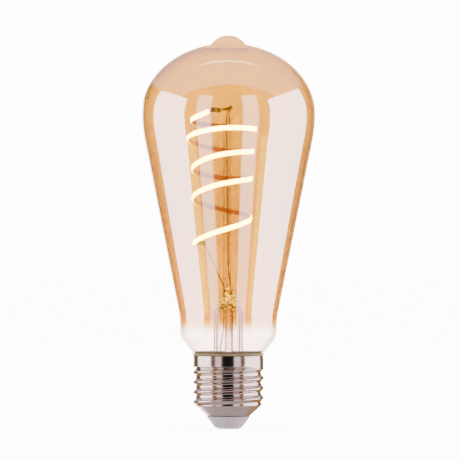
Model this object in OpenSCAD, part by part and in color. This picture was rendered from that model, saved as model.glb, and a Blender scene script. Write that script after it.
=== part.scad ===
// Smart filament light bulb on an Edison screw cap.
// The origin is the middle of the centre contact's underside, and +Z runs up the bulb to the crown.
// Everything is in millimetres.

/* [Envelope] */
// Height of the whole bulb, from the contact to the top of the crown nub
bulb_h = 145; // [144:0.5:147]
// Largest radius of the glass
bulb_r = 32; // [31.5:0.1:32.5]
// Height at which the glass is widest
belly_z = 116; // [115:0.5:117]
// Rise of the crown's ellipse above the widest part
crown_rise = 26.1; // [25.5:0.1:26.5]
// Thickness of the blown glass
glass_wall = 0.7; // [0.6:0.05:0.9]
// Half angle of the long taper, in degrees
taper_angle = 11.4; // [11:0.1:12]
// Radius of the glass neck inside the cap
neck_r = 11; // [10.8:0.1:11.2]

/* [Stem] */
// Outer radius of the stem's tube
tube_r = 5.45; // [5:0.05:5.6]
// Wall of the stem's tube
tube_wall = 0.9; // [0.7:0.1:1]
// Height at which the tube's shoulder begins
tube_top = 42; // [41:0.5:43]
// Height of the top of the pressed seal
seal_top = 52.5; // [52:0.5:53]
// Radius of the centre rod
rod_r = 1.3; // [1.2:0.05:1.4]
// Height of the top of the centre rod
rod_top = 114.8; // [110:0.2:116]

/* [Filament] */
// Width of the coated filament, up the bulb
filament_w = 1.8; // [1.6:0.1:2]
// Thickness of the coated filament, across its turns
filament_t = 1; // [0.95:0.05:1.1]
// Spacing of the chips along the strip
chip_pitch = 3; // [2.5:0.5:6]
// Diameter of the leads inside the glass
lead_d = 0.45; // [0.35:0.05:0.5]

/* [Cap] */
// Thread diameter over the crests
thread_crest_d = 26.2; // [26.15:0.05:26.45]
// Thread diameter at the roots
thread_root_d = 24.1; // [23.96:0.02:24.26]
// Thread pitch, seven turns to the inch
thread_pitch = 3.629; // [3.62:0.001:3.64]
// Thickness of the shell's sheet
shell_t = 0.3; // [0.25:0.05:0.35]
// Height of the shell's upper rim
skirt_top = 27; // [26.8:0.1:27.2]

/* [Driver] */
// Width of the driver board
board_w = 20.2; // [18:0.2:20.4]
// Thickness of the driver board
board_t = 1; // [0.8:0.1:1.2]
// Height of the driver board's top edge
board_top = 20; // [19.5:0.1:20.1]

/* [Hidden] */
$fn = 48;
// A gap that keeps pieces just clear of each other
gap = 0.05;
// The gap at a butt weld between two wires
weld_gap = 0.1;

// Envelope: radii and centres of the arcs that follow each other down the glass
blend_r = 50;
waist_r = 25;
collar_r = 17.9;
collar_z = 38.4;
shoulder_r = 5.5;
shoulder_z = 36;
shoulder_angle = 38;
throat_r = 3;
neck_foot = 20.5;
nub_foot_r = 6.85;
nub_fillet = 1.2;
// Glass drawn inwards under the nub: [radius, depth below the crown's inner face]
dimple = [[0, 2.5], [2.5, 2.55], [4.6, 2.7], [5.8, 2.5], [6.8, 1.8], [8, 1.3]];

// Seal: where the two wires pass through it, as [x, y]
seal_foot = 44.4;
right_foot = [1.5, -1.25];
right_head = [0.77, -1.25];
left_foot = [-1.5, -1.25];
left_head = [-1.55, -1.25];
seal_wire_r = 0.25;
seal_step = 0.4;
pad_y = 0.28;
rod_x = -0.5;
exhaust_x = 0.2;
exhaust_r = 1.5;
exhaust_foot = 23.5;
feed_r = 0.2;

// Filament: a hand-formed coil, wound clockwise on its way down from its top end
coil_x = -2.3;
top_angle = 230;
foot_angle = -1250;
coil_angle = top_angle - foot_angle;
steps_per_turn = 40;
coil_steps = ceil(coil_angle / 360 * steps_per_turn);
strip_w = 1.2;
strip_t = 0.15;
chip_size = [0.9, 0.2, 0.5];
clip_t = 0.5;
clip_reach = 0.4;
tab_t = 0.25;
strip_y = -1.99;
// Height of the coil at each quarter turn down from three quarters round, starting above the top end
first_quarter = 270;
quarter_z = [119.4, 114.0, 111.6, 110.5, 110.7, 107.0, 102.8, 102.3, 101.1, 95.9, 92.6,
             92.3, 90.3, 85.1, 80.9, 77.7, 73.2, 67.6, 62];

// Cap: heights and radii below and above the thread
skirt_r = 12.95;
skirt_foot = 22.3;
shell_foot = 4.65;
shell_foot_r = 7.7;
cone_slope = 1.1;
rim_round = 0.25;
crest_phase = 15.24;
sectors = 48;
cement_foot = 23.3;
cement_top = 27.9;
pin_r = 0.95;
disc_r = 4.15;
floor_z = 2.6;

// Driver board: its front face, and the sleeve round it
board_front = 0.5;
board_back = board_front + board_t;
board_foot = 7.8;
sleeve_r = 11.15;
sleeve_wall = 0.6;
sleeve_foot = 8.6;
radio_t = 0.8;
radio_back = board_back + radio_t;

// ---- Helpers ----

// Points along an arc in the plane of a profile
function arc(x, z, r, from, to, n = 8) =
    [for (i = [0:n]) let (a = from + (to - from) * i / n) [x + r * cos(a), z + r * sin(a)]];

function unit(v) = v / norm(v);

function reverse(list) = [for (i = [len(list) - 1:-1:0]) list[i]];

// Smooth value between the middle two of four evenly spaced ones
function smooth(a, b, c, d, t) =
    b + (c - a) * t / 2 + (a - 2.5 * b + 2 * c - d / 2) * t * t
    + (-a / 2 + 1.5 * b - 1.5 * c + d / 2) * t * t * t;

// Triangles between rings of n points, with both ends closed
function ring_faces(rings, n) = concat(
    [for (i = [0:rings - 2], j = [0:n - 1], k = [0, 1])
        let (a = i * n + j, b = i * n + (j + 1) % n)
        k == 0 ? [a, b + n, b] : [a, a + n, b + n]],
    [for (j = [1:n - 2]) [0, j, j + 1]],
    [for (j = [1:n - 2]) let (e = (rings - 1) * n) [e, e + j + 1, e + j]]);

// Direction of a path at its point i
function heading(path, i) =
    unit(path[min(i + 1, len(path) - 1)] - path[max(i - 1, 0)]);

// Path with each inner corner eased by a short curve
function eased(path, reach, n = 4) = concat([path[0]],
    [for (i = [1:len(path) - 2])
        let (p = path[i], a = p + unit(path[i - 1] - p) * reach, b = p + unit(path[i + 1] - p) * reach)
        for (k = [0:n]) let (t = k / n) (1 - t) * (1 - t) * a + 2 * t * (1 - t) * p + t * t * b],
    [path[len(path) - 1]]);

// Round wire along a path that never runs along Y
module wire(path, r, sides = 8) {
    points = [for (i = [0:len(path) - 1])
        let (t = heading(path, i), u = unit(cross(t, [0, 1, 0])), v = cross(t, u))
        for (j = [0:sides - 1]) let (a = 360 * j / sides) path[i] + r * (cos(a) * u + sin(a) * v)];
    polyhedron(points, ring_faces(len(path), sides));
}

// Straight round bar between two points
module bar(a, b, r) {
    d = b - a;
    translate(a) rotate([0, acos(d.z / norm(d)), atan2(d.y, d.x)]) cylinder(h = norm(d), r = r);
}

// ---- Glass ----

// Dome of the nub and the fillet that eases it into the crown
function nub_outline() =
    let (across = nub_foot_r / bulb_r,
         foot_z = belly_z + crown_rise * sqrt(1 - across * across),
         steep = atan(crown_rise / bulb_r * across / sqrt(1 - across * across)),
         x = nub_foot_r + nub_fillet * sin(steep),
         drop = bulb_h - foot_z - nub_fillet * cos(steep),
         dome_r = (drop * drop + x * x - nub_fillet * nub_fillet) / (2 * (nub_fillet + drop)),
         meet = atan2(dome_r - drop, x))
    concat(arc(0, bulb_h - dome_r, dome_r, 90, meet),
           arc(x, bulb_h - drop, nub_fillet, 180 + meet, 270 - steep, 4));

// Outline of the glass, moved inwards by d, from the crown down to the neck's foot
function glass_outline(d) =
    let (crown_from = d > 0 ? 73 : acos(nub_foot_r / bulb_r) - 1)
    concat(
        d > 0 ? [for (p = dimple) [p.x, belly_z + crown_rise - d - p.y]] : nub_outline(),
        [for (i = [0:20]) let (a = crown_from * (1 - i / 20))
            [(bulb_r - d) * cos(a), belly_z + (crown_rise - d) * sin(a)]],
        arc(bulb_r - blend_r, belly_z, blend_r - d, -2, -taper_angle, 5),
        arc(collar_r + waist_r, collar_z, waist_r + d, 180 - taper_angle, 180, 5),
        arc(collar_r - shoulder_r, shoulder_z, shoulder_r - d, 0, -shoulder_angle, 8),
        throat_arc(d),
        [[neck_r - d, neck_foot]]);

// Where the shoulder's round ends, and the radius of the straight run below it
shoulder_end = [collar_r - shoulder_r * (1 - cos(shoulder_angle)),
                shoulder_z - shoulder_r * sin(shoulder_angle)];
function shoulder_line(z) = shoulder_end.x + tan(shoulder_angle) * (z - shoulder_end.y);

// The concave stretch from that run into the neck
function throat_arc(d) =
    let (x = neck_r + throat_r,
         z = shoulder_end.y + ((x - shoulder_end.x) * cos(shoulder_angle) - throat_r) / sin(shoulder_angle))
    arc(x, z, throat_r + d, 180 - shoulder_angle, 180, 6);

module glass_envelope() {
    color([0.93, 0.7, 0.42, 0.35])
        rotate_extrude($fn = 96)
            polygon(concat(glass_outline(0), reverse(glass_outline(glass_wall))));
}

// Outline of the stem's tube, moved inwards by d, from its flared foot up to its closed top
function stem_outline(d) =
    let (flare_r = neck_r - glass_wall, foot_round = 4.5, dome = 3.9)
    concat(
        [[flare_r - d, neck_foot]],
        arc(tube_r + foot_round, neck_foot + 6, foot_round + d, 250, 180, 8),
        arc(tube_r - dome, tube_top, dome - d, 0, 75, 8));

// Oval slice of the seal, with its half width along X and its half depth along Y
module seal_slice(z, h, half_x, half_y) {
    translate([0, 0, z]) scale([half_x, half_y, 1]) cylinder(h = h, r = 1, $fn = 32);
}

module seal_block() {
    waist_z = 47.4;
    waist_h = 0.4;
    head_h = 2;
    hull() {
        seal_slice(seal_foot, 0.2, 3.875, 2.945);
        seal_slice(waist_z, waist_h, 3.72, 2.04);
    }
    hull() {
        seal_slice(waist_z, waist_h, 3.72, 2.04);
        seal_slice(seal_top - head_h, head_h, 2.4, 1.8);
    }
}

// The way of a seal wire through the seal, run on a little past both ends
module seal_bore(foot, head) {
    low = [foot.x, foot.y, seal_foot - seal_step];
    high = [head.x, head.y, seal_top];
    past = (high - low) * 0.05;
    bar(low - past, high + past, seal_wire_r);
}

module stem_flare() {
    color([0.85, 0.85, 0.9, 0.4])
        difference() {
            union() {
                rotate_extrude($fn = 96)
                    polygon(concat(stem_outline(0), reverse(stem_outline(tube_wall))));
                seal_block();
            }
            seal_bore(right_foot, right_head);
            seal_bore(left_foot, left_head);
        }
}

module exhaust_tube() {
    color([0.88, 0.85, 0.9, 0.4])
        translate([exhaust_x, 0, exhaust_foot])
            rotate_extrude($fn = 48)
                polygon([[0, 0], [0.8, 0.2], [exhaust_r, 1.2], [exhaust_r, seal_foot - exhaust_foot],
                         [exhaust_r - 0.5, seal_foot - exhaust_foot], [exhaust_r - 0.5, 1.8], [0, 1.2]]);
}

module centre_rod() {
    color([0.9, 0.8, 0.65, 0.5])
        difference() {
            translate([rod_x, 0, seal_top])
                rotate_extrude($fn = 48)
                    polygon([[0, 0], [rod_r, 0], [rod_r, rod_top - seal_top - 0.5],
                             [rod_r - 0.4, rod_top - seal_top], [0, rod_top - seal_top]]);
            bar(hook_path[0], hook_path[1], hook_r);
        }
}

// ---- Wires inside the glass ----

// The weld at the top, where the strip, the lead and the hook cross
weld_x = 0.7;
lead_y = -1.62;
hook_r = 0.17;

hook_path = [[0.3, -0.3, 112.4], [0.45, -0.4, 115.6], [weld_x, -1.18, 117.2],
             [weld_x + 0.05, -1.18, 119.1]];

module support_hook() {
    color([0.62, 0.52, 0.42]) wire(eased(hook_path, 0.5), hook_r);
}

module long_lead() {
    color([0.6, 0.45, 0.35])
        wire(eased([[right_head.x, right_head.y, seal_top + weld_gap], [0.62, lead_y, 54.2],
                    [0.1, lead_y, 57.5], [-0.7, lead_y, 114.2], [-0.4, lead_y, 115.8],
                    [0.2, lead_y, 117.4], [0.97, lead_y, 119.3]], 0.5), lead_d / 2);
}

module short_lead() {
    color([0.6, 0.45, 0.35])
        wire(eased([[left_head.x, left_head.y, seal_top + weld_gap], [-2.1, -1.05, 53.6],
                    [-8.5, 0.05, 67.4], [-8.85, 0.05, 68.9]], 0.4), lead_d / 2);
}

module seal_wire(foot, head) {
    bar([foot.x, foot.y, seal_foot - seal_step], [head.x, head.y, seal_top], seal_wire_r);
}

module seal_wire_left() {
    color([0.75, 0.35, 0.2]) seal_wire(left_foot, left_head);
}

module seal_wire_right() {
    color([0.75, 0.35, 0.2]) seal_wire(right_foot, right_head);
}

// Copper wire from the seal down the tube to the front of the driver board
module feed_wire(foot, bends, pad_x) {
    wire(eased(concat([[foot.x, foot.y, seal_foot - seal_step - weld_gap]], bends,
                      [[pad_x, pad_y, board_top + 1.2], [pad_x, pad_y, board_top - 1.4]]), 0.5), feed_r);
}

module feed_wire_left() {
    color([0.4, 0.3, 0.28])
        feed_wire(left_foot, [[-1.62, -1.9, 41.5], [-1.66, -2, 36.7], [-2.94, -2, 29.3],
                              [-2.5, -1.2, 23.2]], -1.5);
}

module feed_wire_right() {
    color([0.4, 0.3, 0.28])
        feed_wire(right_foot, [[1.5, -2.1, 41.5], [1.45, -2.2, 30], [1.8, -1.4, 23.2]], 1.9);
}

// ---- Filament ----

// Radius of the coil a number of turns below its top end: loose at the second turn, drawn in at the top
function coil_r(turns) = 11.3 - 0.2 * turns + 1.6 * exp(-pow((turns - 0.95) / 0.55, 2))
    - 4.2 * exp(-pow(turns / 0.09, 2));

function coil_z(angle) =
    let (q = (first_quarter - angle) / 90, i = floor(q), last = len(quarter_z) - 1)
    smooth(quarter_z[max(i - 1, 0)], quarter_z[i], quarter_z[i + 1], quarter_z[min(i + 2, last)], q - i);

function coil_point(angle) =
    let (r = coil_r((top_angle - angle) / 360))
    [coil_x + r * cos(angle), r * sin(angle), coil_z(angle)];

// Directions down the coil, out from its axis and up across the strip, at an angle round it
function coil_down(angle) = unit(coil_point(angle - 1) - coil_point(angle + 1));
function coil_out(angle) = unit(cross([0, 0, 1], coil_down(angle)));
function coil_up(angle) = cross(coil_down(angle), coil_out(angle));

// A section at an angle round the coil, whose points are [outwards, upwards]
function coil_ring(angle, section) =
    let (p = coil_point(angle), out = coil_out(angle), up = coil_up(angle))
    [for (s = section) p + s.x * out + s.y * up];

function coil_rings(section) =
    [for (i = [0:coil_steps]) each coil_ring(top_angle - coil_angle * i / coil_steps, section)];

// Rectangle from one depth to another, outwards, and w high, from its outer upper corner round
function slot_section(inside, outside, w) =
    [[outside, w / 2], [inside, w / 2], [inside, -w / 2], [outside, -w / 2]];

// Rounded section of the coating
function coating_section() =
    let (r = filament_t / 2, flat = filament_w / 2 - r)
    concat([for (i = [0:5]) [r * cos(36 * i), flat + r * sin(36 * i)]],
           [for (i = [0:5]) [-r * cos(36 * i), -flat - r * sin(36 * i)]]);

// Sides of a sweep whose rings of n points begin at the point numbered start
function sweep_sides(rings, n, start, inward) =
    [for (i = [0:rings - 2], j = [0:n - 1], k = [0, 1])
        let (a = start + i * n + j, b = start + i * n + (j + 1) % n,
             f = k == 0 ? [a, b + n, b] : [a, a + n, b + n])
        inward ? [f[0], f[2], f[1]] : f];

// The flat frame that closes one end of a hollow sweep, between n outer and m inner points
function end_frame(a, b, n, m, last) =
    [for (j = [0:m - 1])
        let (per = n / m, o = a + j * per, i = b + j,
             next_i = b + (j + 1) % m, next_o = a + (j + 1) * per % n)
        each [for (f = concat([for (k = [0:per - 1]) [o + k, i, k == per - 1 ? next_o : o + k + 1]],
                              [[i, next_i, next_o]]))
            last ? f : [f[0], f[2], f[1]]]];

module filament_coating() {
    skin = coating_section();
    channel = slot_section(-strip_t / 2 - gap, strip_t / 2 + chip_size.y + 3 * gap, strip_w + 2 * gap);
    n = len(skin);
    m = len(channel);
    rings = coil_steps + 1;
    color([1, 0.8, 0.35])
        polyhedron(concat(coil_rings(skin), coil_rings(channel)),
                   concat(sweep_sides(rings, n, 0, false), sweep_sides(rings, m, rings * n, true),
                          end_frame(0, rings * n, n, m, false),
                          end_frame((rings - 1) * n, rings * n + (rings - 1) * m, n, m, true)));
}

module filament_strip() {
    color([0.95, 0.93, 0.88])
        polyhedron(coil_rings(slot_section(-strip_t / 2, strip_t / 2, strip_w)),
                   ring_faces(coil_steps + 1, 4));
}

module led_chips() {
    turn_length = 2 * PI * coil_r(2);
    step = 360 * chip_pitch / turn_length;
    color([0.75, 0.8, 0.95])
        for (a = [foot_angle + step / 2:step:top_angle - step / 2]) {
            p = coil_point(a);
            d = coil_down(a);
            o = coil_out(a);
            u = coil_up(a);
            multmatrix([[d.x, o.x, u.x, p.x], [d.y, o.y, u.y, p.y], [d.z, o.z, u.z, p.z]])
                translate([-chip_size.x / 2, strip_t / 2 + gap, -chip_size.z / 2]) cube(chip_size);
        }
}

// Upright metal strip from one point to the next
module strip_piece(a, b, t, h) {
    hull() {
        translate(a) cube([t, t, h], center = true);
        translate(b) cube([t, t, h], center = true);
    }
}

module top_terminal() {
    end = coil_point(top_angle) - coil_down(top_angle) * (clip_t / 2 + clip_reach);
    clip_end = [-3.3, -4.9, 117.3];
    bend = [-0.5, strip_y, 117.9];
    color([0.5, 0.4, 0.33]) {
        strip_piece(end, clip_end, clip_t, 1.7);
        strip_piece(clip_end, bend, tab_t, 1);
        strip_piece(bend, [1.5, strip_y, 118.35], tab_t, 1);
    }
}

module bottom_terminal() {
    end = coil_point(foot_angle) + coil_down(foot_angle) * (clip_t / 2 + clip_reach);
    bend = [-11.9, 0.1, 68.5];
    color([0.5, 0.4, 0.33]) {
        strip_piece(end, bend, clip_t, 2.5);
        strip_piece(bend, [-8.4, 0.5, 68.5], tab_t, 1.5);
    }
}

// ---- Cap ----

// Radius of the shell's outside at a height and an angle round it
function shell_r(z, angle) =
    let (turn = (z - crest_phase) / thread_pitch - angle / 360,
         ridge = pow(0.5 + 0.5 * cos(360 * turn), 1.5),
         thread = (thread_root_d + ridge * (thread_crest_d - thread_root_d)) / 2,
         cone = shell_foot_r + cone_slope * (z - shell_foot),
         rise = max(0, min(1, (z - skirt_foot) / 0.8)),
         skirt = thread + (skirt_r - thread) * rise * rise * (3 - 2 * rise),
         rim = max(0, z - skirt_top + rim_round))
    min(skirt, cone) - (rim_round - sqrt(max(0, rim_round * rim_round - rim * rim)));

shell_z = concat([for (i = [0:3]) shell_foot + i * 1.1],
                 [for (z = [9:thread_pitch / 8:23.4]) z],
                 [for (i = [0:3]) skirt_top - rim_round + rim_round * sin(30 * i)]);

module screw_shell() {
    rows = len(shell_z);
    outer = [for (z = shell_z, j = [0:sectors - 1]) let (a = 360 * j / sectors, r = shell_r(z, a))
        [r * cos(a), r * sin(a), z]];
    inner = [for (z = shell_z, j = [0:sectors - 1])
        let (a = 360 * j / sectors, r = shell_r(min(z, skirt_top - rim_round), a) - shell_t)
        [r * cos(a), r * sin(a), z]];
    start = rows * sectors;
    color([0.8, 0.79, 0.78])
        polyhedron(concat(outer, inner),
                   concat(sweep_sides(rows, sectors, 0, false), sweep_sides(rows, sectors, start, true),
                          end_frame(0, start, sectors, sectors, false),
                          end_frame(start - sectors, 2 * start - sectors, sectors, sectors, true)));
}

// Cement between the neck and the skirt, with its bead under the shoulder of the glass
module cement_ring() {
    fill_r = skirt_r - shell_t - gap;
    color([0.62, 0.58, 0.4])
        rotate_extrude($fn = 96)
            polygon(concat([[neck_r, cement_foot]], reverse(throat_arc(0)),
                           [[shoulder_line(cement_top), cement_top],
                            [shoulder_line(cement_top) + 0.08, cement_top - 0.25],
                            [skirt_r + 0.03, skirt_top + 0.15], [skirt_r - 0.1, skirt_top + gap],
                            [fill_r, skirt_top + gap], [fill_r, cement_foot]]));
}

// Plastic cone held in the shell's closing cone, with a cup above it and a recess for the contact
module insulator() {
    flange = shell_foot_r - shell_t - gap;
    color([0.86, 0.84, 0.87])
        rotate_extrude($fn = 96)
            polygon(concat(
                [[pin_r + gap, 0.75], [disc_r + gap, 0.75], [disc_r + gap, 0.3], [4.6, 0.38]],
                arc(4.95, 0.95, 0.35, -70, -10, 4),
                [[7.95, shell_foot - 0.12], [7.85, shell_foot - 0.03], [flange, shell_foot - 0.03],
                 [flange, shell_foot + 0.05], [flange + 2.6, shell_foot + 0.05 + 2.6 / cone_slope],
                 [flange + 2.6, 7.4], [9.1, 7.4], [6.1, 3.9], [4.3, floor_z], [pin_r + gap, floor_z]]));
}

// Contact disc and its hollow rivet, clinched over the cup's floor
module centre_contact() {
    head_z = floor_z + 0.03;
    color([0.78, 0.77, 0.74])
        rotate_extrude($fn = 64)
            polygon([[0, 0], [3.5, 0], [3.95, 0.08], [disc_r, 0.3], [disc_r, 0.72], [pin_r, 0.72],
                     [pin_r, head_z], [1.8, head_z], [1.7, head_z + 0.35], [1.1, head_z + 0.6],
                     [0.6, head_z + 0.6], [0.6, 1.4], [0, 1.4]]);
}

// ---- Driver ----

module board_sleeve() {
    rail_foot = 9;
    rail_top = 18.5;
    color([0.92, 0.92, 0.9])
        difference() {
            union() {
                translate([0, 0, sleeve_foot])
                    difference() {
                        cylinder(h = board_top + 0.2 - sleeve_foot, r = sleeve_r);
                        translate([0, 0, -1]) cylinder(h = 20, r = sleeve_r - sleeve_wall);
                    }
                intersection() {
                    cylinder(h = rail_top, r = sleeve_r - sleeve_wall / 2);
                    for (side = [-1, 1], y = [board_front - gap - 0.8, board_back + gap])
                        translate([side > 0 ? 9 : -11, y, rail_foot]) cube([2, 0.8, rail_top - rail_foot]);
                }
            }
            translate([10, -2.5, board_top - 1.2]) cube([2, 1.5, 3]);
        }
}

module driver_board() {
    half = board_w / 2;
    color([0.12, 0.42, 0.25])
        translate([0, board_back, 0]) rotate([90, 0, 0])
            linear_extrude(board_t)
                polygon([[-half, board_top], [-half, 9.6], [1.5 - half, board_foot],
                         [half - 1.5, board_foot], [half, 9.6], [half, board_top]]);
}

// Flat-backed chip package on the front of the board, with legs down both sides
module package(x, z, size, legs) {
    leg = [0.6, 0.25, 0.45];
    lift = 0.1;
    translate([x, board_front, z]) {
        translate([-size.x / 2, -size.y - lift, -size.z / 2]) cube(size);
        for (side = [-1, 1], i = [0:legs - 1])
            translate([side * (size.x / 2 + leg.x / 2 - gap), -leg.y / 2,
                       (i - (legs - 1) / 2) * size.z / legs])
                cube(leg, center = true);
    }
}

module bridge_rectifier() {
    color([0.12, 0.12, 0.13]) package(-5.2, 17.1, [4.4, 1.5, 3.8], 2);
}

module driver_chip() {
    color([0.1, 0.1, 0.11]) package(4.9, 18, [3.7, 1.3, 2.9], 3);
}

// Can with a crimp near its foot, and two leads turned to the board
module bulk_capacitor() {
    can_r = 3.15;
    can_foot = 9;
    can_h = 7;
    at = [4.6, -2.7];
    color([0.2, 0.24, 0.4]) {
        translate([at.x, at.y, can_foot])
            rotate_extrude($fn = 48)
                polygon([[0, 0], [can_r - 0.4, 0], [can_r, 0.3], [can_r, 1], [can_r - 0.3, 1.3],
                         [can_r, 1.6], [can_r, can_h - 0.3], [can_r - 0.3, can_h], [0, can_h]]);
        for (side = [-1, 1]) {
            bar([at.x + side * 1.2, at.y, 8.3], [at.x + side * 1.2, at.y, can_foot + 0.2], 0.25);
            bar([at.x + side * 1.2, at.y - 0.25, 8.4], [at.x + side * 1.2, board_front, 8.4], 0.25);
        }
    }
}

// Where the mains comes up to the fusible resistor
resistor_at = [-0.8, -1.6];
resistor_foot = 9.2;

module fusible_resistor() {
    body_h = 5;
    body_r = 1.1;
    color([0.35, 0.5, 0.36])
        translate([resistor_at.x, resistor_at.y, resistor_foot]) {
            rotate_extrude($fn = 48)
                polygon([[0, 0], [0.7, 0], [body_r, 0.4], [body_r, 1.1], [body_r - 0.15, 1.4],
                         [body_r - 0.15, body_h - 1.4], [body_r, body_h - 1.1], [body_r, body_h - 0.4],
                         [0.7, body_h], [0, body_h]]);
            translate([0, 0, -0.7]) cylinder(h = 1, r = 0.25);
            translate([0, 0, body_h - 0.2]) cylinder(h = 0.9, r = 0.25);
            bar([0, -0.25, body_h + 0.45], [0, board_front - resistor_at.y, body_h + 0.45], 0.25);
        }
}

// Drum inductor that smooths the current into the board
inductor_at = [-5.6, -2.4];
inductor_foot = 8.9;
inductor_h = 5.4;
inductor_rim = 0.9;
inductor_post_r = 1.2;

module inductor_core() {
    color([0.25, 0.25, 0.27])
        translate([inductor_at.x, inductor_at.y, inductor_foot]) {
            for (z = [0, inductor_h - inductor_rim])
                translate([0, 0, z]) cylinder(h = inductor_rim, r = 2.6);
            cylinder(h = inductor_h, r = inductor_post_r);
            for (z = [inductor_rim / 2, inductor_h - inductor_rim / 2])
                bar([0, 2.2, z], [0, board_front - inductor_at.y, z], 0.3);
        }
}

module inductor_winding() {
    turns = 9;
    layers_r = 2.1;
    space = inductor_h - 2 * inductor_rim - 2 * gap;
    wire_r = space / turns / 2;
    color([0.7, 0.35, 0.18])
        translate([inductor_at.x, inductor_at.y, inductor_foot + inductor_rim + gap])
            rotate_extrude($fn = 48)
                polygon(concat([[inductor_post_r + gap, 0], [layers_r, 0]],
                               [for (i = [0:turns - 1])
                                   each arc(layers_r, (2 * i + 1) * wire_r, wire_r * 0.9, -60, 60, 3)],
                               [[layers_r, space], [inductor_post_r + gap, space]]));
}

module radio_board() {
    color([0.1, 0.2, 0.32]) translate([-6, board_back, 8.4]) cube([12, radio_t, 11.2]);
}

module radio_shield() {
    color([0.75, 0.75, 0.76]) translate([-4.4, radio_back, 8.8]) {
        translate([0, 0, 0.2]) cube([8.8, 1.4, 6.6]);
        translate([0.2, 0, 0]) cube([8.4, 1.6, 7]);
    }
}

// Printed meander that ends the radio board
module antenna() {
    trace = 0.45;
    folds = 6;
    step = 1.7;
    foil = 0.1;
    color([0.8, 0.65, 0.3])
        translate([-folds * step / 2, radio_back, 16.4])
            for (i = [0:folds]) {
                translate([i * step - trace / 2, 0, 0]) cube([trace, foil, 2.6]);
                if (i < folds)
                    translate([i * step - trace / 2, 0, i % 2 == 0 ? 2.6 - trace : 0])
                        cube([step + trace, foil, trace]);
            }
}

module live_wire() {
    color([0.75, 0.15, 0.12])
        wire(eased([[0, 0, 2.2], [0, 0, 4.6], [resistor_at.x, resistor_at.y, 7.6],
                    [resistor_at.x, resistor_at.y, resistor_foot - 0.7 - gap]], 0.6), feed_r);
}

// From the board out through the sleeve's notch, and down between the sleeve and the shell
module neutral_wire() {
    run_x = 11.26;
    run_y = -1.78;
    color([0.2, 0.35, 0.7])
        wire(eased([[8.5, pad_y, 17.4], [8.5, pad_y, 19.3], [9.5, run_y, 19.6], [run_x, run_y, 19.6],
                    [run_x, run_y, 15.5]], 0.35), feed_r);
}

glass_envelope();
stem_flare();
exhaust_tube();
centre_rod();
support_hook();
filament_coating();
filament_strip();
led_chips();
top_terminal();
bottom_terminal();
long_lead();
short_lead();
seal_wire_left();
seal_wire_right();
feed_wire_left();
feed_wire_right();
cement_ring();
screw_shell();
insulator();
centre_contact();
board_sleeve();
driver_board();
bridge_rectifier();
bulk_capacitor();
fusible_resistor();
inductor_core();
inductor_winding();
driver_chip();
radio_board();
radio_shield();
antenna();
live_wire();
neutral_wire();
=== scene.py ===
"""Looks of a smart filament lamp: an amber glass envelope with a lit spiral filament inside, on a
nickel plated screw cap. Metres throughout, with sizes given in millimetres and turned into metres."""

import math

import bmesh
import bpy
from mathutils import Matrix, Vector, noise


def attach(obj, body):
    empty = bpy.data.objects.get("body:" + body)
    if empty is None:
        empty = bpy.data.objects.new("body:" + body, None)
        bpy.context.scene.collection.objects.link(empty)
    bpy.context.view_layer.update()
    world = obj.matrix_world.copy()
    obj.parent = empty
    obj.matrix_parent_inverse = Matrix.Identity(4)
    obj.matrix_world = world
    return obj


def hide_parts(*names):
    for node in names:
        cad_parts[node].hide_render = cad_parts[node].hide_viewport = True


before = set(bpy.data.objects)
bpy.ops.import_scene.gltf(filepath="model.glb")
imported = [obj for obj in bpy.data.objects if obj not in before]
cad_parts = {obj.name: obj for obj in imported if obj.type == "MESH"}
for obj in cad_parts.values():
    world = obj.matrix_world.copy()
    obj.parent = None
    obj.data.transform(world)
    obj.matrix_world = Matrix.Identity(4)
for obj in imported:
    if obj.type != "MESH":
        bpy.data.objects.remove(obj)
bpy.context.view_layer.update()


# ---- Stem tube ----
# A tube of clear lead glass, flared at its foot and melted on to the neck of the envelope. It holds
# the wires and carries the seal on its closed top. Drawn tube, so its surface is clean and bright.

MM = 0.001


class Value:
    """A shader socket. Sums on it add Math nodes, and [name] picks another output of its node."""

    def __init__(self, finish, node, output=0):
        self.finish, self.node, self.socket = finish, node, node.outputs[output]

    def __getitem__(self, output):
        return Value(self.finish, self.node, output)

    def math(self, operation, *values):
        return self.finish.node("ShaderNodeMath", {"operation": operation}, dict(enumerate(values)))

    def __add__(self, other): return self.math("ADD", self, other)
    def __sub__(self, other): return self.math("SUBTRACT", self, other)
    def __mul__(self, other): return self.math("MULTIPLY", self, other)
    def __truediv__(self, other): return self.math("DIVIDE", self, other)
    def __pow__(self, other): return self.math("POWER", self, other)
    def __rsub__(self, other): return self.math("SUBTRACT", other, self)
    __radd__, __rmul__ = __add__, __mul__


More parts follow.
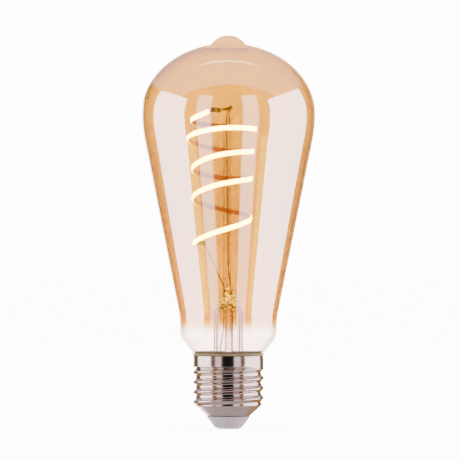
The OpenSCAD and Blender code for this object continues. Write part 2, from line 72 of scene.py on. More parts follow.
class Finish:
    """A material under construction. node() makes one node: its type, its settings, then its inputs."""

    def __init__(self, name, owner=None):
        owner = owner or bpy.data.materials.new(name)
        owner.use_nodes = True
        owner.node_tree.nodes.clear()
        self.made, self.tree = owner, owner.node_tree

    def node(self, kind, settings=None, inputs=None):
        node = self.tree.nodes.new(kind)
        for key, setting in (settings or {}).items():
            setattr(node, key, setting)
        for key, value in (inputs or {}).items():
            socket = node.inputs[key]
            if isinstance(value, Value):
                self.tree.links.new(value.socket, socket)
            else:
                opaque = socket.type == "RGBA" and len(value) == 3
                socket.default_value = value + (1,) if opaque else value
        return Value(self, node)

    def place(self):
        """Where a point of the piece is, in metres."""
        return self.node("ShaderNodeTexCoord")["Object"]

    def axes(self):
        split = self.node("ShaderNodeSeparateXYZ", None, {0: self.place()})
        return split["X"], split["Y"], split["Z"]

    def facing(self):
        """From 0 where the surface faces the eye to 1 where it turns edge on."""
        return self.node("ShaderNodeLayerWeight", None, {"Blend": 0.5})["Facing"]

    def fade(self, value, start, end):
        """From 0 at start to 1 at end, softly."""
        return self.node("ShaderNodeMapRange", {"interpolation_type": "SMOOTHSTEP"},
                         {"Value": value, "From Min": start, "From Max": end})

    def grain(self, size, detail=3.0, stretch=(1, 1, 1)):
        """Cloudy noise from 0 to 1 whose patches are size millimetres across."""
        stretched = self.node("ShaderNodeVectorMath", {"operation": "MULTIPLY"},
                              {0: self.place(), 1: stretch})
        return self.node("ShaderNodeTexNoise", None,
                         {"Vector": stretched, "Scale": 1 / (size * MM), "Detail": detail})["Fac"]

    def blend(self, mask, first, second):
        return self.node("ShaderNodeMix", {"data_type": "RGBA"}, {0: mask, 6: first, 7: second})[2]

    def relief(self, height, depth):
        """A bump whose full height is depth millimetres."""
        return self.node("ShaderNodeBump", None, {"Height": height, "Distance": depth * MM, "Strength": 1.0})

    def mix(self, mask, first, second):
        return self.node("ShaderNodeMixShader", None, {0: mask, 1: first, 2: second})

    def surface(self, shader, kind="ShaderNodeOutputMaterial"):
        self.tree.links.new(shader.socket, self.tree.nodes.new(kind).inputs["Surface"])
        return self.made

    def shader(self, **inputs):
        names = {key.replace("_", " "): value for key, value in inputs.items()}
        return self.node("ShaderNodeBsdfPrincipled", None, names)

    def principled(self, **inputs):
        return self.surface(self.shader(**inputs))


def arc(x, z, r, start, end, steps=8):
    """Points along an arc of a profile, centred at (x, z), between two angles in degrees."""
    angles = [math.radians(start + (end - start) * i / steps) for i in range(steps + 1)]
    return [(x + r * math.cos(a), z + r * math.sin(a)) for a in angles]


def turned(bm, profile, sides=128, axis_x=0):
    """Turns a profile of (radius, height) points once round an upright axis."""
    points = [bm.verts.new(((axis_x + r) * MM, 0, z * MM)) for r, z in profile]
    lines = [bm.edges.new(pair) for pair in zip(points, points[1:])]
    bmesh.ops.spin(bm, geom=points + lines, cent=(axis_x * MM, 0, 0), axis=(0, 0, 1),
                   angle=math.tau, steps=sides, use_merge=True)
    bmesh.ops.remove_doubles(bm, verts=bm.verts, dist=1e-6)


def add_piece(name, bm, finishes, slot, *nodes, wall=0):
    """Makes the bmesh a smooth piece of the bulb that stands for the given CAD nodes."""
    bmesh.ops.recalc_face_normals(bm, faces=bm.faces)
    for edge in bm.edges:
        edge.smooth = edge.calc_face_angle(0) < math.radians(35)
    mesh = bpy.data.meshes.new(name)
    bm.to_mesh(mesh)
    bm.free()
    for face in mesh.polygons:
        face.use_smooth = True
    made = bpy.data.objects.new(name, mesh)
    bpy.context.collection.objects.link(made)
    for finish in finishes:
        mesh.materials.append(finish)
    if wall:
        solid = made.modifiers.new("wall", "SOLIDIFY")
        solid.thickness, solid.offset, solid.use_even_offset = wall * MM, -1, True
    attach(made, "root")
    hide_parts(*nodes)
    return made


def drawn_glass(name, colour, edge, edge_from=0.25):
    """Clear drawn glass, a little wavy along its length, with painted shade that darkens its wall where it
    turns away.
    """
    finish = Finish(name)
    waver = finish.relief(finish.grain(2.5, 2, (1, 1, 0.3)), 0.01)
    # The edge colour is painted shade, blended in where the wall turns edge on.
    painted_edge_shade = finish.fade(finish.facing(), edge_from, edge_from + 0.45)
    return finish.principled(Base_Color=finish.blend(painted_edge_shade, colour, edge), Roughness=0.02, IOR=1.5,
                             Transmission_Weight=1.0, Normal=waver)


tube_r, tube_top, tube_wall, neck_foot = 5.45, 42, 0.9, 20.5
flare_rim_r, flare_round, top_round = 10.3, 4.5, 3.9
stem_profile = ([(flare_rim_r, neck_foot)]
                + arc(tube_r + flare_round, neck_foot + 6, flare_round, 250, 180, 12)
                + arc(tube_r - top_round, tube_top, top_round, 0, 75, 12))
stem_shape = bmesh.new()
turned(stem_shape, stem_profile, 96)
stem_glass = drawn_glass("stem glass", (0.92, 0.86, 0.88), (0.34, 0.21, 0.18), 0.15)
add_piece("stem_tube", stem_shape, [stem_glass], "clear_glass", "stem_flare", wall=tube_wall)


# ---- Seal ----
# The hot end of the stem, pinched flat over the two wires so that no air gets in. The tongs leave it
# crumpled, and the glass holds bubbles and a brown stain of oxide from the wires.

seal_foot, seal_top = 43.8, 52.5
seal_levels = [(43.9, 3.2, 2.6), (44.7, 4.1, 2.85), (46.2, 4.15, 2.5), (47.3, 3.7, 2.05),
               (48.3, 2.7, 1.95), (49.6, 2.15, 1.85), (51.4, 2.05, 1.7), (52.3, 1.6, 1.3)]
seal_shape = bmesh.new()
turned(seal_shape, [(0, seal_foot)] + [(1, z) for z, across, deep in seal_levels] + [(0, seal_top)], 48)
for point in seal_shape.verts:
    for z, across, deep in seal_levels:
        if abs(point.co.z - z * MM) < 1e-6:
            point.co.x *= across
            point.co.y *= deep
bmesh.ops.subdivide_edges(seal_shape, edges=seal_shape.edges, cuts=2, use_grid_fill=True)
crumple_most = 0.1
for point in seal_shape.verts:
    side = Vector((point.co.x, point.co.y, 0))
    crease = noise.noise(point.co * 1100) + 0.6 * noise.noise(point.co * 2600)
    if side.length > 1 * MM:
        point.co += side.normalized() * min(crumple_most, 0.5 * crease) * MM
    point.co.z += 0.35 * noise.noise(point.co * 1500) * MM


def seal_finish():
    """Bubbly glass stained by oxide, with a copper joint near its top. Its emission is painted light: a
    mottled glow with painted highlights standing in for the filament's light.
    """
    finish = Finish("pinched seal glass")
    x, y, z = finish.axes()
    bubbles = finish.node("ShaderNodeTexVoronoi", None, {"Vector": finish.place(), "Scale": 1 / (0.9 * MM)})
    fold = finish.relief(bubbles["Distance"] * 0.5 + finish.grain(0.8, 4) * 0.8, 1.2)
    # This mask is real oxide stain and, through facing, also painted shade where the seal turns edge on.
    oxide_and_edge_shade = finish.fade(finish.grain(1.0, 4) + finish.facing() * 0.16, 0.52, 0.60)
    # The emission is painted light: a mottled glow with painted highlights, dark over the oxide and the
    # painted shade, and copper red at the joint.
    painted_glint = finish.fade(finish.grain(1.3, 3), 0.58, 0.66)
    glow = finish.blend(painted_glint, finish.blend(oxide_and_edge_shade, (3.2, 2.8, 3.0), (0.30, 0.17, 0.10)), (9.0, 8.6, 6.6))
    joint = finish.fade(z, 50.2 * MM, 50.8 * MM) * (1 - finish.fade(z, 51.2 * MM, 51.7 * MM))
    glow = finish.blend(joint * finish.fade(0 - y, 0, 0.9 * MM), glow, (0.35, 0.06, 0.03))
    glass = finish.shader(Base_Color=(0.90, 0.80, 0.58), Roughness=0.05, IOR=1.5, Transmission_Weight=0.6,
                          Normal=fold, Emission_Color=glow, Emission_Strength=1.0)
    oxide = finish.shader(Base_Color=(0.20, 0.12, 0.05), Roughness=0.4, Normal=fold)
    return finish.surface(finish.mix(oxide_and_edge_shade * 0.6, glass, oxide))


add_piece("stem_seal", seal_shape, [seal_finish()], "clear_glass", "stem_flare")


# ---- Exhaust tube and centre rod ----
# A thin tube inside the stem, through which the air was pumped out, and a solid rod above the seal
# that keeps the filament's top wire upright. Both are drawn clear glass, melted into the seal.

pump_r, pump_bore, pump_foot, pump_top, pump_x = 1.5, 1.0, 23.5, 44.4, 0.2
exhaust_shape = bmesh.new()
turned(exhaust_shape, [(0, pump_foot), (0.8, 23.7), (pump_r, 24.7), (pump_r, pump_top),
                       (pump_bore, pump_top), (pump_bore, 25.3), (0, 24.7)], 48, pump_x)
pump_glass = drawn_glass("exhaust tube glass", (0.95, 0.90, 0.89), (0.55, 0.42, 0.42))
add_piece("exhaust_tube_glass", exhaust_shape, [pump_glass], "clear_glass", "exhaust_tube")

rod_r, rod_foot, rod_top, rod_round, rod_x = 1.3, 52.5, 114.8, 0.6, -0.5
rod_shape = bmesh.new()
turned(rod_shape, [(0, rod_foot - 0.05), (rod_r, rod_foot)]
       + arc(rod_r - rod_round, rod_top - rod_round, rod_round, 0, 90, 6) + [(0, rod_top)], 48, rod_x)


def see_through(finish, colour):
    """Thin glass that lets light straight through."""
    return finish.node("ShaderNodeBsdfTransparent", None, {"Color": colour})


def mirror(finish, colour, rough, **inputs):
    return finish.node("ShaderNodeBsdfAnisotropic", None, {"Color": colour, "Roughness": rough} | inputs)


def rod_finish():
    """Clear glass with painted shade that shows as two brown lines where the round rod turns away."""
    finish = Finish("rod glass")
    facing = finish.facing()
    waver = finish.relief(finish.grain(2.5, 2, (1, 1, 0.3)), 0.02)
    # The brown see-through colour at the edges is painted shade.
    through = finish.mix(finish.fade(facing, 0.32, 0.62), see_through(finish, (0.96, 0.93, 0.88)),
                         see_through(finish, (0.50, 0.39, 0.29)))
    gloss = mirror(finish, (1.0, 0.96, 0.93), 0.02, Normal=waver)
    return finish.surface(finish.mix(facing ** 4 * 0.2 + 0.05, through, gloss))


add_piece("rod_glass", rod_shape, [rod_finish()], "clear_glass", "centre_rod")


# ---- Lead wires, hook and seal wires ----
# Thin nickel plated steel wires carry the current to the filament. Their ends are butt welded to
# copper-clad wires that are sealed in the glass, and copper wires run down to the driver board.

def clothe(finish, *names):
    """Gives CAD nodes their finish."""
    for name in names:
        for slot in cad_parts[name].material_slots:
            slot.material = finish


def wire_finish(name, clean, dull, rough, metal=1.0):
    """Drawn wire, streaked along its length."""
    finish = Finish(name)
    drawn = finish.grain(0.5, 4, (1, 1, 0.15))
    return finish.principled(Base_Color=finish.blend(finish.fade(drawn, 0.35, 0.7), clean, dull),
                             Roughness=drawn * 0.2 + rough, Metallic=metal,
                             Normal=finish.relief(drawn, 0.01))


clothe(wire_finish("lead wire", (0.62, 0.44, 0.32), (0.36, 0.25, 0.18), 0.35, 0.7),
       "long_lead", "short_lead", "support_hook")
clothe(wire_finish("seal wire copper", (0.9, 0.27, 0.08), (0.28, 0.04, 0.02), 0.35),
       "seal_wire_left", "seal_wire_right")
# The feed wires are coloured near black, darker than bare copper: painted shade for the dim neck they run
# through.
clothe(wire_finish("feed wire copper in painted shade", (0.04, 0.02, 0.02), (0.015, 0.01, 0.01), 0.5, 0.0),
       "feed_wire_left", "feed_wire_right")


# ---- Filament ----
# A flexible strip set with small light emitting chips, cast in silicone with a yellow phosphor that
# sets round at its ends, and wound in an open coil. Its outer face is dazzling, its inner face orange.

coil_x = -2.3
top_angle, foot_angle = 230, -1250
quarter_heights = (119.4, 114.0, 111.6, 110.5, 110.7, 107.0, 102.8, 102.3, 101.1, 95.9, 92.6, 92.3,
                   90.3, 85.1, 80.9, 77.7, 73.2, 67.6, 62)
coat_half_w, coat_half_t, end_round = 0.9, 0.5, 0.75


def glow_finish():
    finish = Finish("lit phosphor silicone")
    x, y, z = finish.axes()
    faces = finish.node("ShaderNodeSeparateXYZ", None, {0: finish.node("ShaderNodeNewGeometry")["Normal"]})
    off_axis = x - coil_x * MM
    reach = finish.node("ShaderNodeMath", {"operation": "SQRT"}, {0: off_axis * off_axis + y * y})
    outward = (off_axis * faces["X"] + y * faces["Y"]) / reach
    bead = finish.grain(0.6, 2)
    inner = finish.blend(bead, (0.68, 0.19, 0.0), (0.76, 0.22, 0.0))
    rim = finish.blend(finish.fade(outward, -0.15, 0.08), inner, (5.5, 3.0, 0.5))
    colour = finish.blend(finish.fade(outward, 0.05, 0.4), rim, (30.0, 27.0, 22.0))
    base = finish.blend(bead, (0.26, 0.07, 0.0), (0.32, 0.09, 0.0))
    return finish.principled(Base_Color=base, Roughness=0.5, Emission_Color=colour, Emission_Strength=2.6,
                             Specular_IOR_Level=0.2, Normal=finish.relief(bead, 0.03))


def coil_point(angle):
    """A point of the coil, in millimetres, at an angle round it. Its height is set at each quarter turn."""
    turns = (top_angle - angle) / 360
    swell = 1.6 * math.exp(-((turns - 0.95) / 0.55) ** 2) - 4.2 * math.exp(-(turns / 0.09) ** 2)
    r = 11.3 - 0.2 * turns + swell
    quarter = (270 - angle) / 90
    i = math.floor(quarter)
    t = quarter - i
    a, b, c, d = (quarter_heights[max(0, min(len(quarter_heights) - 1, i + k))] for k in (-1, 0, 1, 2))
    z = (b + (c - a) * t / 2 + (a - 2.5 * b + 2 * c - d / 2) * t * t
         + (-a / 2 + 1.5 * b - 1.5 * c + d / 2) * t ** 3)
    return Vector((coil_x + r * math.cos(math.radians(angle)), r * math.sin(math.radians(angle)), z))


def coating_shape():
    """A straight bar of the rounded section, bent down the coil and drawn in to round ends."""
    steps = 560
    length = sum((coil_point(angle) - coil_point(angle - 1)).length
                 for angle in range(top_angle, foot_angle, -1))
    run, before, places = 0, coil_point(top_angle), []
    for i in range(steps + 1):
        angle = top_angle + (foot_angle - top_angle) * (0.5 - 0.5 * math.cos(math.pi * i / steps))
        here = coil_point(angle)
        run += (here - before).length
        before = here
        down = (coil_point(angle - 1) - coil_point(angle + 1)).normalized()
        out = Vector((0, 0, 1)).cross(down).normalized()
        left = max(0, min(1, min(run, length - run) / end_round))
        places.append((here, out, down.cross(out), math.sqrt(max(0.02, 1 - (1 - left) ** 2))))
    bm = bmesh.new()
    bmesh.ops.create_circle(bm, segments=20, radius=coat_half_t * MM)
    for point in bm.verts:
        if abs(point.co.y) > 1e-3 * MM:
            point.co.y += math.copysign(coat_half_w - coat_half_t, point.co.y) * MM
    bmesh.ops.spin(bm, geom=bm.verts[:] + bm.edges[:], axis=(0, 0, 1), dvec=(0, 0, MM), angle=0, steps=steps)
    bmesh.ops.holes_fill(bm, edges=[edge for edge in bm.edges if edge.is_boundary], sides=20)
    for point in bm.verts:
        here, out, up, drawn_in = places[round(point.co.z / MM)]
        point.co = here * MM + drawn_in * (point.co.x * out + point.co.y * up)
    return bm


coating = add_piece("lit_coating", coating_shape(), [glow_finish()], "phosphor_silicone", "filament_coating")
coating.visible_glossy = False      # the lit coil isn't mirrored in the glass round it


def plain_finish(name, light, dark, rough, size=0.8, metal=0.0, depth=0.02, **inputs):
    """A finish whose colour wanders between two shades, with a fine uneven surface."""
    finish = Finish(name)
    patch = finish.grain(size, 5)
    return finish.principled(Base_Color=finish.blend(finish.fade(patch, 0.3, 0.7), light, dark),
                             Roughness=patch * 0.15 + rough, Metallic=metal,
                             Normal=finish.relief(patch, depth), **inputs)


clothe(plain_finish("filament strip film", (0.86, 0.83, 0.74), (0.72, 0.66, 0.52), 0.4), "filament_strip")
clothe(plain_finish("chip crystal", (0.55, 0.7, 0.95), (0.3, 0.42, 0.7), 0.15, 0.3), "led_chips")
for node_name in ("filament_strip", "led_chips"):
    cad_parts[node_name].visible_glossy = False


# ---- Filament terminals ----
# Stamped strips of nickel plated steel, clipped to the two ends of the filament and spot welded to the
# lead wires. The welding heat leaves them brown with a dark blob where the weld is.

def terminal_finish():
    finish = Finish("spot welded steel")
    rolled = finish.grain(0.8, 5, (0.3, 1, 1))
    scorch = finish.fade(finish.grain(1.6, 2), 0.4, 0.6)
    steel = finish.blend(finish.fade(rolled, 0.4, 0.6), (0.95, 0.86, 0.84), (0.50, 0.40, 0.36))
    colour = finish.blend(scorch, steel, (0.24, 0.15, 0.12))
    # The terminals also emit their own colour, a painted light that brightens them.
    return finish.principled(Base_Color=colour, Roughness=rolled * 0.25 + 0.3, Metallic=0.25,
                             Emission_Color=colour, Emission_Strength=0.9,
                             Normal=finish.relief(rolled, 0.03))


clothe(terminal_finish(), "top_terminal", "bottom_terminal")


# ---- Glass envelope ----
# Soda-lime glass blown in a mould, 0.7 mm thick, with the tip left where it was closed. A metal oxide
# film gives it the amber colour and a mirror-like gloss, and stops short of the clear neck.

bulb_r, bulb_h, belly_z, crown_rise, glass_wall = 32, 145, 116, 26.1, 0.7
tip_foot_r, tip_fillet = 6.85, 1.2
side_r, flank_r, taper = 50, 25, 11.4
collar_r, collar_z, neck_r = 17.9, 38.4, 11
shoulder_z, shoulder_r, shoulder_angle, throat_r = 36, 5.5, 38, 3
slope = math.radians(shoulder_angle)
run_r = collar_r - shoulder_r * (1 - math.cos(slope))
run_z = shoulder_z - shoulder_r * math.sin(slope)
throat_z = run_z + ((neck_r + throat_r - run_r) * math.cos(slope) - throat_r) / math.sin(slope)


def glass_profile(inset, crown_from):
    """The glass from its crown down to the neck's foot, moved inwards by inset."""
    steps = 36
    angles = [math.radians(crown_from * (1 - i / steps)) for i in range(steps + 1)]
    return ([((bulb_r - inset) * math.cos(a), belly_z + (crown_rise - inset) * math.sin(a)) for a in angles]
            + arc(bulb_r - side_r, belly_z, side_r - inset, -1, -taper, 10)
            + arc(collar_r + flank_r, collar_z, flank_r + inset, 180 - taper, 180, 8)
            + arc(collar_r - shoulder_r, shoulder_z, shoulder_r - inset, -1, -shoulder_angle, 12)
            + arc(neck_r + throat_r, throat_z, throat_r + inset, 180 - shoulder_angle, 180, 8)
            + [(neck_r - inset, neck_foot)])


# The tip is a dome that meets the crown in a small fillet, at tip_foot_r from the axis.
foot_level = math.sqrt(1 - (tip_foot_r / bulb_r) ** 2)
steep = math.atan(crown_rise / bulb_r * tip_foot_r / bulb_r / foot_level)
fillet_x = tip_foot_r + tip_fillet * math.sin(steep)
drop = bulb_h - belly_z - crown_rise * foot_level - tip_fillet * math.cos(steep)
dome_r = (drop ** 2 + fillet_x ** 2 - tip_fillet ** 2) / (2 * (tip_fillet + drop))
meet = math.degrees(math.atan2(dome_r - drop, fillet_x))
outside = ([(0, bulb_h)] + arc(0, bulb_h - dome_r, dome_r, 86, meet, 14)
           + arc(fillet_x, bulb_h - drop, tip_fillet, 180 + meet, 270 - math.degrees(steep), 8)
           + glass_profile(0, math.degrees(math.acos(tip_foot_r / bulb_r)) - 1))
dimple = [(0, 138.9), (2.5, 138.85), (4.6, 138.7), (5.8, 138.9), (6.8, 139.6), (8, 140.1)]
inside = dimple + glass_profile(glass_wall, 73)
glass_shape = bmesh.new()
turned(glass_shape, outside)
outer_points = set(glass_shape.verts)
turned(glass_shape, inside)
for face in glass_shape.faces:
    face.material_index = 0 if outer_points.intersection(face.verts) else 1
bmesh.ops.bridge_loops(glass_shape, edges=[edge for edge in glass_shape.edges if edge.is_boundary])


def amber_finish():
    """The filmed outer face: amber where light passes, mirror-like where it is reflected. The film is a
    little deeper round the coil, and stops above the cap."""
    finish = Finish("amber filmed glass")
    z = finish.axes()[2]
    film_low, film_full = 35.5, 42.0
    filmed = finish.fade(z + finish.grain(9, 2) * 1.5 * MM, film_low * MM, film_full * MM)
    facing = finish.facing()
    edge = facing ** 6
    film = finish.mix(finish.fade(z, 122 * MM, 96 * MM), see_through(finish, (0.65, 0.405, 0.02)),
                      see_through(finish, (0.59, 0.355, 0.02)))
    film = finish.mix(finish.fade(z, 78 * MM, 56 * MM), film, see_through(finish, (0.67, 0.39, 0.005)))
    amber = finish.mix(edge, film, see_through(finish, (0.50, 0.32, 0.06)))
    clear = finish.mix(edge, see_through(finish, (0.84, 0.745, 0.71)),
                       see_through(finish, (0.60, 0.50, 0.47)))
    gloss = mirror(finish, (0.93, 0.88, 1.0), 0.03, Normal=finish.relief(finish.grain(18, 1), 0.03))
    share = filmed * 0.3 + 0.07 + facing ** 4 * 0.3
    return finish.surface(finish.mix(share, finish.mix(filmed, clear, amber), gloss))


def inner_finish():
    """The bare inner face of the glass, with the cement outside it showing through at the neck."""
    finish = Finish("inner face of the glass")
    facing = finish.facing()
    clear = finish.mix(facing ** 5, see_through(finish, (0.98, 0.97, 0.96)),
                       see_through(finish, (0.6, 0.5, 0.45)))
    glass = finish.mix(facing ** 4 * 0.3 + 0.04, clear, mirror(finish, (1.0, 0.95, 0.95), 0.02))
    cemented = finish.shader(Base_Color=(0.36, 0.29, 0.15), Roughness=0.3)
    cement_top = finish.fade(finish.axes()[2], 28.5 * MM, 28.9 * MM)
    return finish.surface(finish.mix(cement_top, cemented, glass))


add_piece("envelope_glass", glass_shape, [amber_finish(), inner_finish()], "amber_glass", "glass_envelope")


# ---- Cement ----
# Hard phenolic cement between the glass neck and the metal cap. It is baked to a dull olive brown and
# squeezed out in a thin sharp bead under the shoulder of the glass.

def cement_finish():
    finish = Finish("baked cement")
    grit = finish.grain(0.35, 6)
    patch = finish.grain(3.0, 3)
    baked = finish.blend(finish.fade(patch, 0.35, 0.65), (0.27, 0.22, 0.09), (0.20, 0.15, 0.06))
    colour = finish.blend(finish.fade(grit, 0.55, 0.7), baked, (0.42, 0.39, 0.22))
    return finish.principled(Base_Color=colour, Roughness=grit * 0.3 + 0.5, Normal=finish.relief(grit, 0.12))


clothe(cement_finish(), "cement_ring")


# ---- Screw shell ----
# The cap's thread, pressed and rolled from 0.3 mm brass sheet and nickel plated bright. Above the
# thread is a plain skirt, and below it the sheet closes in a satin cone round the insulator.

root_d, crest_d, pitch, crest_phase = 24.1, 26.2, 3.629, 15.24
skirt_r, skirt_foot, skirt_top, rim = 12.95, 22.3, 27, 0.25
shell_foot, shell_foot_r, cone_slope, sheet = 4.65, 7.7, 1.1, 0.3


def shell_radius(z, around):
    """Radius of the shell's outside at a height and an angle in degrees round it."""
    turn = (z - crest_phase) / pitch - around / 360
    ridge = (0.5 + 0.5 * math.cos(math.tau * turn)) ** 1.5
    thread = (root_d + ridge * (crest_d - root_d)) / 2
    cone = shell_foot_r + cone_slope * (z - shell_foot)
    rise = max(0, min(1, (z - skirt_foot) / 0.8))
    skirt = thread + (skirt_r - thread) * rise * rise * (3 - 2 * rise)
    over = max(0, z - skirt_top + rim)
    return min(skirt, cone) - (rim - math.sqrt(max(0, rim * rim - over * over)))


cone_levels = [shell_foot + i * 0.4 for i in range(8)]
thread_levels = [8 + i * 0.12 for i in range(134)]
skirt_levels = [24.3 + i * 0.4 for i in range(7)]
rim_levels = [skirt_top - rim + rim * math.sin(math.radians(15 * i)) for i in range(7)]
shell_shape = bmesh.new()
turned(shell_shape, [(root_d / 2, z) for z in cone_levels + thread_levels + skirt_levels + rim_levels], 160)
for point in shell_shape.verts:
    around = math.atan2(point.co.y, point.co.x)
    radius = shell_radius(point.co.z / MM, math.degrees(around)) * MM
    point.co.x, point.co.y = radius * math.cos(around), radius * math.sin(around)


def nickel_finish():
    finish = Finish("bright nickel plate")
    scuff = finish.grain(0.5, 5, (0.15, 0.15, 1))
    haze = finish.grain(4, 3)
    satin = 1 - finish.fade(finish.axes()[2], 8.0 * MM, 9.2 * MM)
    colour = finish.blend(finish.fade(haze, 0.5, 0.75), (0.45, 0.36, 0.35), (0.40, 0.32, 0.31))
    rough = 0.09 + scuff * 0.05 + haze * 0.04 + satin * 0.18
    return finish.principled(Base_Color=colour, Metallic=1.0, Roughness=rough,
                             Normal=finish.relief(scuff, 0.008))


add_piece("cap_shell", shell_shape, [nickel_finish()], "nickel_plate", "screw_shell", wall=sheet)


# ---- Insulator ----
# A moulded cone of white heat-proof plastic with a faint lilac cast. It is held by the rolled-in foot
# of the shell and keeps the centre contact apart from it. Its face is smooth with a soft gloss.

def insulator_finish():
    finish = Finish("white moulded plastic")
    cloud = finish.grain(2.5, 3)
    pore = finish.grain(0.25, 3)
    return finish.principled(Base_Color=finish.blend(cloud, (0.66, 0.62, 0.66), (0.58, 0.55, 0.60)),
                             Roughness=pore * 0.15 + 0.3, Normal=finish.relief(pore, 0.02))


clothe(insulator_finish(), "insulator")


# ---- Centre contact ----
# A disc of tinned brass with a hollow rivet, clinched through the insulator's floor. Springs in the
# holder press on it, so it is plain, soft-edged and marked with fine turning lines.

def contact_finish():
    finish = Finish("tinned brass")
    rings = finish.node("ShaderNodeTexWave", {"wave_type": "RINGS", "rings_direction": "Z"},
                        {"Vector": finish.place(), "Scale": 1100.0, "Distortion": 1.5, "Detail": 2.0})["Fac"]
    rub = finish.grain(1.2, 4)
    colour = finish.blend(finish.fade(rub, 0.45, 0.7), (0.76, 0.74, 0.70), (0.62, 0.55, 0.42))
    return finish.principled(Base_Color=colour, Metallic=1.0, Roughness=rub * 0.2 + 0.22,
                             Normal=finish.relief(rings, 0.01))


clothe(contact_finish(), "centre_contact")


# ---- Driver board and its parts ----
# A small board inside the cap: a green glass laminate with the mains parts on its front and a second
# board with the radio on its back, in a sleeve of clear brown film that keeps them off the metal.

def laminate_finish(name, mask_light, mask_dark):
    finish = Finish(name)
    weave = finish.node("ShaderNodeTexWave", {"wave_type": "BANDS", "bands_direction": "DIAGONAL"},
                        {"Vector": finish.place(), "Scale": 1600.0, "Distortion": 0.4})["Fac"]
    patch = finish.grain(2, 3)
    colour = finish.blend(finish.fade(patch, 0.3, 0.7), mask_light, mask_dark)
    return finish.principled(Base_Color=colour, Roughness=patch * 0.2 + 0.25, Coat_Weight=0.4,
                             Normal=finish.relief(weave, 0.02))


clothe(laminate_finish("green board laminate", (0.03, 0.20, 0.08), (0.02, 0.13, 0.05)), "driver_board")
clothe(laminate_finish("black board laminate", (0.02, 0.03, 0.035), (0.012, 0.018, 0.02)), "radio_board")
clothe(plain_finish("brown sleeve film", (0.45, 0.24, 0.08), (0.36, 0.18, 0.05), 0.25, 3), "board_sleeve")
clothe(plain_finish("black moulding epoxy", (0.02, 0.02, 0.022), (0.035, 0.033, 0.032), 0.5, 0.3),
       "bridge_rectifier", "driver_chip")


def capacitor_finish():
    finish = Finish("capacitor sleeve and can")
    end = finish.fade(finish.axes()[2], 15.3 * MM, 15.5 * MM)
    brushed = finish.grain(0.4, 4)
    sleeve = finish.blend(brushed, (0.02, 0.03, 0.06), (0.03, 0.045, 0.08))
    colour = finish.blend(end, sleeve, (0.75, 0.75, 0.76))
    return finish.principled(Base_Color=colour, Metallic=end, Roughness=brushed * 0.2 + 0.3,
                             Normal=finish.relief(brushed, 0.01))


clothe(capacitor_finish(), "bulk_capacitor")
clothe(plain_finish("cement resistor body", (0.16, 0.33, 0.42), (0.11, 0.25, 0.33), 0.55, 0.4),
       "fusible_resistor")
clothe(plain_finish("sintered ferrite", (0.05, 0.048, 0.047), (0.08, 0.075, 0.07), 0.6, 0.25, 0.0, 0.05),
       "inductor_core")


def winding_finish():
    finish = Finish("enamelled winding")
    turns = finish.node("ShaderNodeTexWave", {"wave_type": "BANDS", "bands_direction": "Z"},
                        {"Vector": finish.place(), "Scale": 900.0, "Distortion": 0.6, "Detail": 1.0})["Fac"]
    return finish.principled(Base_Color=finish.blend(turns, (0.62, 0.21, 0.06), (0.82, 0.36, 0.14)),
                             Metallic=0.9, Roughness=turns * 0.1 + 0.25, Normal=finish.relief(turns, 0.1))


clothe(winding_finish(), "inductor_winding")
clothe(plain_finish("tinned shield", (0.78, 0.78, 0.77), (0.66, 0.66, 0.66), 0.25, 1.5, 1.0, 0.01),
       "radio_shield")
clothe(plain_finish("gilded antenna foil", (0.95, 0.70, 0.32), (0.82, 0.56, 0.24), 0.25, 0.6, 1.0, 0.01),
       "antenna")
clothe(plain_finish("red wire sleeve", (0.55, 0.05, 0.04), (0.42, 0.03, 0.03), 0.4, 0.6), "live_wire")
clothe(plain_finish("black wire sleeve", (0.03, 0.03, 0.03), (0.05, 0.05, 0.05), 0.4, 0.6), "neutral_wire")


# ---- Studio ----
# A wide pale floor and a white surround, with two tall soft boxes in front and two beside the bulb.
# Brown walls show in the gaps between them, and the studio's dark end lies behind the camera.

white_level, floor_r = 14.0, 12
floor_shape = bmesh.new()
bmesh.ops.create_circle(floor_shape, cap_ends=True, segments=128, radius=floor_r)
floor_mesh = bpy.data.meshes.new("studio_floor")
floor_shape.to_mesh(floor_mesh)
floor_shape.free()
floor = bpy.data.objects.new("studio_floor", floor_mesh)
bpy.context.collection.objects.link(floor)
floor.visible_glossy = floor.visible_shadow = floor.visible_transmission = False


def floor_finish():
    """Matt paper that looks white to the eye, with a faint shade where the bulb touches it."""
    finish = Finish("pale studio floor")
    seen = finish.node("ShaderNodeLightPath")["Is Camera Ray"]
    contact = finish.node("ShaderNodeAmbientOcclusion", {"samples": 8}, {"Distance": 0.05})["AO"]
    dull, pale = (finish.node("ShaderNodeBsdfDiffuse", None, {"Color": (tone,) * 3}) for tone in (0.72, 0.74))
    matt = finish.mix(finish.grain(400, 2), dull, pale)
    unlit, lit = (finish.node("ShaderNodeEmission", None, {"Color": (1.0, 1.0, 1.0), "Strength": strength})
                  for strength in (0.0, white_level - 1.2))
    glow = finish.mix(seen * (contact * 0.45 + 0.55), unlit, lit)
    return finish.surface(finish.node("ShaderNodeAddShader", None, {0: matt, 1: glow}))


floor_mesh.materials.append(floor_finish())


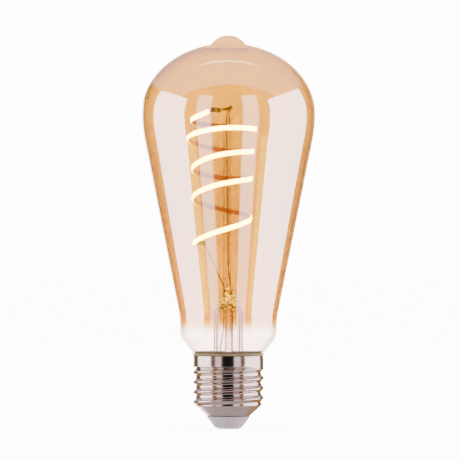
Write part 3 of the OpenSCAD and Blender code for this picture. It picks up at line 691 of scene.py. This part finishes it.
def surround():
    """White where it is seen directly. In the glass and the metal it shows brown walls, a pale ceiling,
    a white backdrop behind the bulb and a dark end, and through thick glass white panels all round."""
    world = bpy.data.worlds.new("studio")
    bpy.context.scene.world = world
    finish = Finish("studio", world)
    white = (white_level, white_level, white_level)

    def math_node(operation, *values):
        return finish.node("ShaderNodeMath", {"operation": operation}, dict(enumerate(values)))

    def background(colour):
        return finish.node("ShaderNodeBackground", None, {"Color": colour})

    way = finish.node("ShaderNodeSeparateXYZ", None, {0: finish.node("ShaderNodeTexCoord")["Generated"]})
    path = finish.node("ShaderNodeLightPath")
    side, depth, up = way["X"], way["Y"], way["Z"]
    around = math_node("ARCTAN2", side, depth)
    off_back, off_side = math_node("ABSOLUTE", around), math_node("ABSOLUTE", side)
    behind = (1 - finish.fade(off_back, 0.33, 0.42)) * (1 - finish.fade(around, 0.03, 0.16))
    behind = behind * (1 - finish.fade(up, 0.02, 0.10))
    dark_end = finish.fade(off_back, 2.76, 2.81)
    overhead = finish.fade(up * 0.66 + depth, -0.03, 0.05) * finish.fade(up * 1.9 - off_side, 0, 0.12)
    far_right = finish.fade(around, 0.12, 0.3) * (1 - finish.fade(up, 0.25, 0.45))
    far_right = far_right * (1 - finish.fade(around, 0.8, 1.1))
    ceiling = overhead * finish.fade(up, 0.06, 0.14) * (1 - far_right)
    strip_lamp = 1 - finish.fade(math_node("ABSOLUTE", depth - 0.29), 0.01, 0.06)
    strip_lamp = strip_lamp * (1 - finish.fade(off_side, 0.2, 0.5)) * ceiling
    ground = finish.fade(0 - up, 0.55, 0.75)
    low_wall = finish.fade(0 - up, 0.12, 0.38) * (1 - dark_end)
    beside = finish.fade(off_back, 2.02, 2.08) * (1 - finish.fade(off_back, 2.28, 2.36))
    walls = finish.blend(low_wall, (0.34, 0.21, 0.13), (0.8, 0.42, 0.12))
    for mask, colour in ((beside * finish.fade(0 - up, 0.2, 0.4), (2.8, 2.0, 0.2)),
                         (dark_end, (0.02, 0.018, 0.02)), (behind, white), (ceiling, (1.05, 0.85, 0.85)),
                         (strip_lamp, (3.6, 2.9, 2.2)), (ground, (0.95, 0.88, 0.87))):
        walls = finish.blend(mask, walls, colour)
    panels = finish.fade(math_node("COSINE", around * 8), -0.7, -0.3)
    bent = background(finish.blend(panels, (0.5, 0.3, 0.22), white))
    hidden = finish.mix(path["Is Transmission Ray"], background(walls), bent)
    finish.surface(finish.mix(path["Is Camera Ray"], hidden, background(white)), "ShaderNodeOutputWorld")


surround()


box_reach, box_foot = 1.3, -0.69


def soft_box(name, azimuth, across, low, high, strength):
    """A soft box at an angle from the camera's side, upright, facing the bulb. What shows of it below
    the floor is a reflection only."""
    light = bpy.data.lights.new(name, "AREA")
    light.shape, light.size, light.size_y = "RECTANGLE", across, high - low
    light.energy = strength * math.pi * across * (high - low)
    light.color = (1.0, 0.97, 0.98)
    lamp = bpy.data.objects.new(name, light)
    bpy.context.collection.objects.link(lamp)
    turn = math.radians(azimuth)
    lamp.location = (box_reach * math.sin(turn), -box_reach * math.cos(turn), (low + high) / 2)
    lamp.rotation_euler = (math.pi / 2, 0, turn)
    lamp.visible_camera = lamp.visible_transmission = False
    lamp.visible_diffuse = low >= 0


for name, turned_by, across, top, strength in (
        ("front_box_left", -33, 0.46, 1.0, 2.0), ("front_box_right", 30, 0.50, 1.0, 2.0),
        ("side_box_left", -88.5, 1.41, 0.81, 6.5), ("side_box_right", 92, 1.82, 0.81, 6.5)):
    soft_box(name, turned_by, across, 0, top, strength)
    soft_box(name + "_foot", turned_by, across, box_foot, 0, strength)

camera_data = bpy.data.cameras.new("camera")
camera_data.lens, camera_data.clip_end = 744, 100
camera = bpy.data.objects.new("camera", camera_data)
bpy.context.collection.objects.link(camera)
camera.location = (0.00063, -3.5, 0.0733)
camera.rotation_euler = (math.pi / 2, 0, 0)
bpy.context.scene.camera = camera
